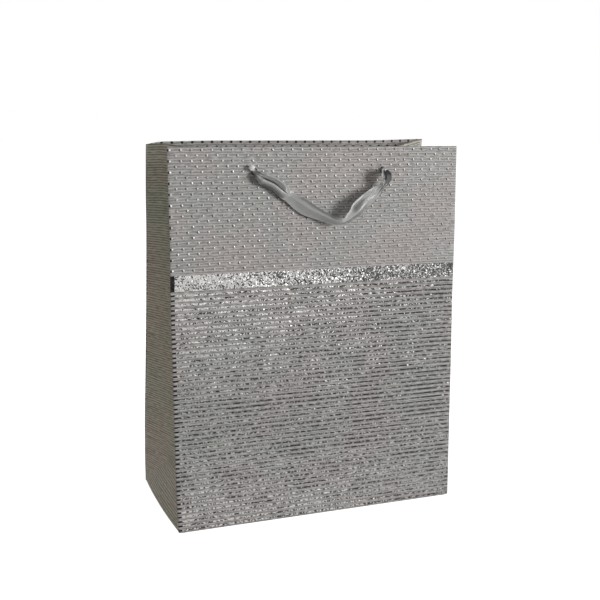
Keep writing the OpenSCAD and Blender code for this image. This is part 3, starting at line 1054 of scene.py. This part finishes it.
def long_flap_sheet(which, flip):
    """A front or back bottom flap. The front one climbs over the edge of the back one."""
    start = folded("panel", 0.0, ("base", 1), 0.0)
    limit = HALF_W - 1.2 * MM
    columns = steps(-limit, limit, 40) + [limit]
    inner = (72, 68, 64, 60, 56, 52, 49, 46, 43, 40, 37, 34, 31, 27, 22, 16, 10, 5, 2, 0)
    drops = [LONG_FLAP] + [d * MM for d in inner]
    points, faces = grid(columns, [("flap", d) for d in drops])

    def place(u, row, depth):
        drop = row[1]
        lift = 0.0 if flip else LAYER * smooth(32 * MM, 42 * MM, drop)
        # The corners of a flap are cut back a little, so that they don't catch in the side folds.
        across = u * (1 - 0.022 * smooth(6 * MM, 18 * MM, drop))
        return turned(Vector((across, start.y + drop, lift + depth)), flip)

    def flap_uv(u, row):
        return u, -PANEL_L - row[1]

    name, nodes = f"{which}_flap_sheet", [f"{which}_bottom_flap"]
    shell(name, points, faces, place, PAPER, flap_uv, PRINTED_SIDE, "printed_paper", nodes)


def side_flap_sheet(which, flip):
    limit = HALF_D - FOLD_SIDE
    shares = [k / 20 for k in range(-20, 21)]
    inner = (47, 43, 40, 38, 34, 30, 26, 22, 18, 14, 11, 8, 6, 4, 2.5, 1.2, 0)
    drops = [SHORT_FLAP] + [d * MM for d in inner]
    points, faces = side_grid(shares, [("flap", d) for d in drops])

    def half_width(drop):
        return limit - min(drop, 40 * MM)

    def place(share, row, depth):
        drop = row[1]
        start = folded("side", share * limit, ("base", 1), 0.0)
        bow = (start.x + HALF_W) * math.exp(-drop / (8 * MM))
        p = Vector((-HALF_W + drop + bow, share * half_width(drop), 2 * LAYER + depth))
        return turned(p, flip)

    def flap_uv(share, row):
        return share * half_width(row[1]), -PANEL_L - row[1]

    name, nodes = f"{which}_flap_sheet", [f"{which}_bottom_flap"]
    shell(name, points, faces, place, PAPER, flap_uv, PRINTED_SIDE, "printed_paper", nodes)


def rounded_outline(half_x, half_y, radius):
    corners = [(1, 1, 0), (-1, 1, 90), (-1, -1, 180), (1, -1, 270)]
    points = []
    for side_x, side_y, start in corners:
        for k in range(7):
            angle = math.radians(start + 15 * k)
            x = side_x * (half_x - radius) + radius * math.cos(angle)
            y = side_y * (half_y - radius) + radius * math.sin(angle)
            points.append((x, y))
    return points


def bottom_board():
    """The loose board in the base, with softened edges and ends that lift very slightly."""
    low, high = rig.box("bottom_board")
    half_x, half_y = high.x, high.y
    edge = 0.3 * MM
    levels = [(half_y - 1 * MM, 0.0), (28 * MM, 0.0), (edge, 0.0), (0.0, edge), (0.0, BOARD_T - edge)]
    levels += [(edge, BOARD_T), (28 * MM, BOARD_T), (half_y - 1 * MM, BOARD_T)]
    points = []
    for inset, z in levels:
        radius = max(3 * MM - inset, 0.5 * MM)
        for x, y in rounded_outline(half_x - inset, half_y - inset, radius):
            points.append((x, y, BOARD_Z + z + 0.35 * MM * (abs(x) / half_x) ** 4))
    round_count = len(points) // len(levels)
    faces = [tuple(reversed(range(round_count)))]
    for level in range(len(levels) - 1):
        for k in range(round_count):
            m = (k + 1) % round_count
            a = level * round_count
            faces.append((a + k, a + m, a + round_count + m, a + round_count + k))
    faces.append(tuple(range((len(levels) - 1) * round_count, len(levels) * round_count)))
    mesh = bpy.data.meshes.new("base_board")
    mesh.from_pydata(points, [], faces)
    mesh.polygons.foreach_set("use_smooth", [True] * len(mesh.polygons))
    mesh.set_sharp_from_angle(angle=math.radians(50))
    return link("base_board", mesh, [GREY_BOARD], "bag", "grey_board", ["bottom_board"])


# ------------ ribbons and knots

def key(u, column):
    """Value of one column of RIBBON_LIE at u, eased between its rows."""
    for a, b in zip(RIBBON_LIE, RIBBON_LIE[1:]):
        if u <= b[0]:
            return mix(a[column], b[column], smooth(a[0], b[0], u))
    return RIBBON_LIE[-1][column]


def route_point(u):
    """Catmull-Rom point of the ribbon's route at u, counted in route points, over the front panel."""
    last = len(RIBBON_ROUTE) - 1
    i = min(int(u), last - 1)
    t = u - i
    a, b, c, d = (Vector(RIBBON_ROUTE[min(max(k, 0), last)]) for k in (i - 1, i, i + 1, i + 2))
    p = 0.5 * (2 * b + (c - a) * t + (2 * a - 5 * b + 4 * c - d) * t * t + (3 * b - a - 3 * c + d) * t**3)
    across, below, out = p * MM
    return Vector((across, -HALF_D, 0)) + PANEL_UP * (HOLE_V - below) + PANEL_OUT * out


# Heights in mm across the rolled-up stretch: a round lobe, a slit, and a trough with a raised rim.
ROLLED = [
    (-1, -0.6), (-0.85, 1.2), (-0.62, 2.7), (-0.35, 3.5), (-0.14, 3.2), (-0.05, 2.2), (0.03, -2),
    (0.12, 0.9), (0.3, 2.1), (0.48, 2.7), (0.64, 3.6), (0.78, 3.5), (0.9, 2.3), (1, 0.2),
]
ROLL_END = 5.25


def along_list(pairs, x):
    """Value at x of a list of (place, value) pairs, eased between them."""
    for (a, low), (b, high) in zip(pairs, pairs[1:]):
        if x <= b:
            return mix(low, high, smooth(a, b, x))
    return pairs[-1][1]


def ribbon_height(u, s):
    """How far the ribbon stands out of its own plane at s across it, from -1 to 1."""
    pleat, roll, hollow, ridged, lipped = (key(u, column) for column in (3, 4, 5, 6, 7))
    height = pleat * 1.0 * math.sin(3.2 * math.pi * s + 0.4)
    # The roll's mouth is round, and its slit closes just before it.
    roll = min(roll, 1 - smooth(ROLL_END - 0.4, ROLL_END, u + 0.3 * s * s))
    closed = smooth(ROLL_END - 0.75, ROLL_END - 0.4, u)
    height += roll * mix(along_list(ROLLED, s), 3.0 - 2.4 * s * s, closed)
    height += hollow * 5.2 * s * s * (1.0 if s > 0 else 0.2)
    ridge = 0.6 * math.exp(-(((s - 0.15) / 0.16) ** 2))
    height += ridged * (ridge + 0.25 * math.sin(5.5 * s + 0.25 * u) - 1.5 * s * s)
    fold = 2.0 - 3.0 * math.sqrt((s + 0.35) ** 2 + 0.01)
    height += lipped * (fold + 5.0 * max(0.0, (s - 0.35) / 0.65) ** 1.2)
    # The near arm rests on the panel.
    height -= 1.8 * smooth(1.5, 3, u) * smooth(9.5, 7.5, u)
    return height * MM


# Round the ribbon's section: its face, 1 or -1, and the place across it, from -1 to 1.
SECTION = [(side, side * (1 - 2 * k / 32)) for side in (1, -1) for k in range(33)]


def ribbon_ring(u):
    """Points round the ribbon's section at u."""
    last = len(RIBBON_ROUTE) - 1
    centre = route_point(u)
    along = (route_point(min(u + 0.03, last)) - route_point(max(u - 0.03, 0))).normalized()
    flat = PANEL_OUT.cross(along).normalized()
    tilt = math.radians(key(u, 2))
    across = flat * math.cos(tilt) + along.cross(flat) * math.sin(tilt)
    face = along.cross(across)
    half = key(u, 1) * MM / 2
    # The near arm lies a little above its route.
    raised = 1.7 * MM * smooth(2.5, 4, u) * smooth(9.5, 7.5, u)
    ring = []
    for side, s in SECTION:
        slope = (ribbon_height(u, s + 0.01) - ribbon_height(u, s - 0.01)) / (0.02 * half)
        normal = (face - across * slope).normalized()
        middle = centre + across * (s * half + raised) + face * ribbon_height(u, s)
        ring.append(middle + normal * (side * RIBBON_T / 2))
    return ring


def tube_faces(first, count, size, closed=False):
    """Faces between count rings of size points each."""
    faces = []
    for i in range(count if closed else count - 1):
        a, b = first + i * size, first + (i + 1) % count * size
        for k in range(size):
            m = (k + 1) % size
            faces.append((a + k, a + m, b + m, b + k))
    return faces


def satin_mesh(name, points, uvs, faces, flip):
    """Smooth mesh of a ribbon piece, with one place on the ribbon for each point."""
    mesh = bpy.data.meshes.new(name)
    mesh.from_pydata([turned(p, flip) for p in points], [], faces)
    uv = mesh.uv_layers.new(name="print")
    for loop in mesh.loops:
        uv.data[loop.index].uv = uvs[loop.vertex_index]
    mesh.polygons.foreach_set("use_smooth", [True] * len(mesh.polygons))
    mesh.set_sharp_from_angle(angle=math.radians(60))
    return mesh


def ribbon(name, node, flip):
    """A satin ribbon: a thin strip swept along the route, pleated at the holes."""
    count = 230
    points, uvs, path, travelled = [], [], [], 0.0
    for i in range(count + 1):
        u = (len(RIBBON_ROUTE) - 1) * i / count
        path.append(route_point(u))
        if i:
            travelled += (path[i] - path[i - 1]).length
        points += ribbon_ring(u)
        uvs += [(s * RIBBON_W / 2, travelled) for _, s in SECTION]
    wide = len(SECTION)
    faces = tube_faces(0, count + 1, wide)
    for end, turn in ((0, False), (count * wide, True)):
        for k in range(wide // 2 - 1):
            cap = (end + k, end + wide - 1 - k, end + wide - 2 - k, end + k + 1)
            faces.append(tuple(reversed(cap)) if turn else cap)
    mesh = satin_mesh(name, points, uvs, faces, flip)
    obj = link(name, mesh, [HANDLE_SATIN], None, "satin_ribbon", [node])
    return obj, [turned(p, flip) for p in path]


def swept(points, uvs, faces, line, section, closed=False):
    """Adds a tube: section(i) gives ring i's points as (sideways, outward) offsets."""
    first, size, count = len(points), len(section(0)), len(line)
    travelled = 0.0
    for i, centre in enumerate(line):
        before = line[i - 1] if closed or i else line[0]
        after = line[(i + 1) % count] if closed or i < count - 1 else line[-1]
        along = (after - before).normalized()
        side = along.cross(Vector((0, 1, 0.03))).normalized()
        out = side.cross(along)
        travelled += (centre - before).length
        for k, (a, b) in enumerate(section(i)):
            points.append(centre + side * a + out * b)
            uvs.append(((k / size - 0.5) * RIBBON_W, travelled))
    faces += tube_faces(first, count, size, closed)
    if not closed:
        faces.append(tuple(reversed(range(first, first + size))))
        faces.append(tuple(range(first + (count - 1) * size, first + count * size)))


def creased(radius, flatness, folds):
    """Section of a gathered ribbon: a ring with this many soft creases."""
    ring = []
    for k in range(20):
        angle = 2 * math.pi * k / 20
        r = radius * (1 + 0.13 * math.sin(folds * angle))
        ring.append((r * math.cos(angle), r * flatness * math.sin(angle)))
    return ring


def knot_line(centre, side):
    """Middle line of an overhand knot."""
    across = Vector((side, 0, 0))
    line = []
    for i in range(72):
        t = 2 * math.pi * i / 72
        x = math.sin(t) + 2 * math.sin(2 * t)
        y = math.cos(t) - 2 * math.cos(2 * t)
        z = -math.sin(3 * t)
        line.append(centre + (across * x + PANEL_UP * y) * (1.38 * MM) + PANEL_OUT * (z * 2.3 * MM))
    return line


# The stub through a hole, in mm: how far its rings are outward from the knot's middle, and their radii.
STUB_REACH = (-3.5, -1.5, 1, 3, 5, 6.5, 8, 9.1, 10.2, 11.2, 11.9, 12.3)
STUB_GIRTH = (1.2, 2.4, 2.6, 2.3, 2.1, 1.8, 1.6, 1.7, 2.2, 2.5, 2.1, 1.0)
TAIL_RINGS = 24


def tail_section(i):
    """Section of a tail at its ring i: gathered at the knot, and flat further down."""
    half = TAIL_W / 2 * mix(0.5, 1.0, smooth(0, 7, i))
    thin = mix(1.0 * MM, 0.28 * MM, smooth(0, 6, i))
    front = [(half * (1 - k / 5), thin * (1 + 0.5 * math.sin(k * 1.3))) for k in range(11)]
    return front + [(a, b - 2 * thin) for a, b in reversed(front)]


def tail_line(centre):
    """Middle line of the tail that hangs from a knot."""
    top = centre - PANEL_OUT * (1.2 * MM) - PANEL_UP * (2 * MM)
    length = TAIL_L + KNOT_R - 3 * MM
    return [
        top - PANEL_UP * (length * k / TAIL_RINGS) + PANEL_OUT * (0.9 * MM * math.sin(k / 5))
        for k in range(TAIL_RINGS + 1)
    ]


def knot(name, node, side, flip):
    """An overhand knot behind a hole, with the stub through the hole and a tail cut at a slant."""
    hole = Vector((side * HOLE_X, -HALF_D, 0)) + PANEL_UP * HOLE_V
    centre = hole - PANEL_OUT * (WALL + KNOT_R)
    points, uvs, faces = [], [], []
    swept(points, uvs, faces, knot_line(centre, side), lambda i: creased(2.2 * MM, 0.85, 5), closed=True)

    # Outside the left hole the gathered ribbon bulges up and away from the arm that hangs from it.
    lean = Vector((-3.2 * MM, 0, 0)) + PANEL_UP * (3.4 * MM) if side < 0 else Vector((0, 0, 0))
    stub = [centre + PANEL_OUT * (k * MM) + lean * smooth(7, 11, k) for k in STUB_REACH]
    swept(points, uvs, faces, stub, lambda i: creased(STUB_GIRTH[i] * MM, 1.0, 6))

    tail = tail_line(centre)
    swept(points, uvs, faces, tail, tail_section)
    for i in range(len(points) - len(tail_section(0)), len(points)):
        points[i] = points[i] + PANEL_UP * ((points[i] - tail[-1]).x * 0.7)

    mesh = satin_mesh(name, points, uvs, faces, flip)
    mouth, outward = turned(hole, flip), turned(PANEL_OUT, flip)
    # The stub outside the left hole takes the paler satin: a painted highlight where the gathered ribbon catches the
    # light.
    for polygon in mesh.polygons:
        outside = (polygon.center - mouth).dot(outward)
        polygon.material_index = 1 if side < 0 and outside > 1.4 * MM else 0
    return link(name, mesh, [SATIN, GLINT_PAINTED_SATIN], "bag", "satin_ribbon", [node])


def handle(which, flip):
    """One handle: its ribbon, and a knot behind each of its two holes."""
    obj, path = ribbon(f"{which}_handle_ribbon", f"{which}_ribbon", flip)
    # The ribbon's ends stay at their holes and its middle swings, so it bends between them.
    still = Vector((0, -HALF_D, 0)) + PANEL_UP * (HOLE_V - 1 * MM)
    moving = still - PANEL_UP * (15 * MM)
    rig.blend(obj, "bag", f"{which}_handle", start=turned(still, flip), end=turned(moving, flip))
    sides = {"left": 1, "right": -1} if flip else {"left": -1, "right": 1}
    knots = [
        knot(f"{which}_{hand}_ribbon_knot", f"{which}_{hand}_knot", side, flip)
        for hand, side in sides.items()
    ]
    length = sum((b - a).length for a, b in zip(path, path[1:]))
    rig.cord(
        obj, exit=path[0], length=length, diameter=RIBBON_W, far_end="object", stiffness="limp",
        lay="hanging", path=path, with_pieces=knots,
    )


# ------------ the whole bag

# The back half is the front half's turned copy.
ENDS = (("front", False), ("back", True))
SIDES = (("left", False), ("right", True))


def make_pairs(*makers):
    for make, pair in makers:
        for which, flip in pair:
            make(which, flip)


make_camera()
make_pairs((handle, ENDS), (panel_sheet, ENDS), (gusset_sheet, SIDES))
make_pairs((panel_hem_sheet, ENDS), (side_hem_sheet, SIDES))
seam_sheet()
make_pairs((top_board_sheet, ENDS), (long_flap_sheet, ENDS), (side_flap_sheet, SIDES))
bottom_board()
make_stage()

low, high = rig.bounds()
with open("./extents.json", "w") as size_file:
    json.dump({"cad": [list(CAD_LOW), list(CAD_HIGH)], "visual": [list(low), list(high)]}, size_file)
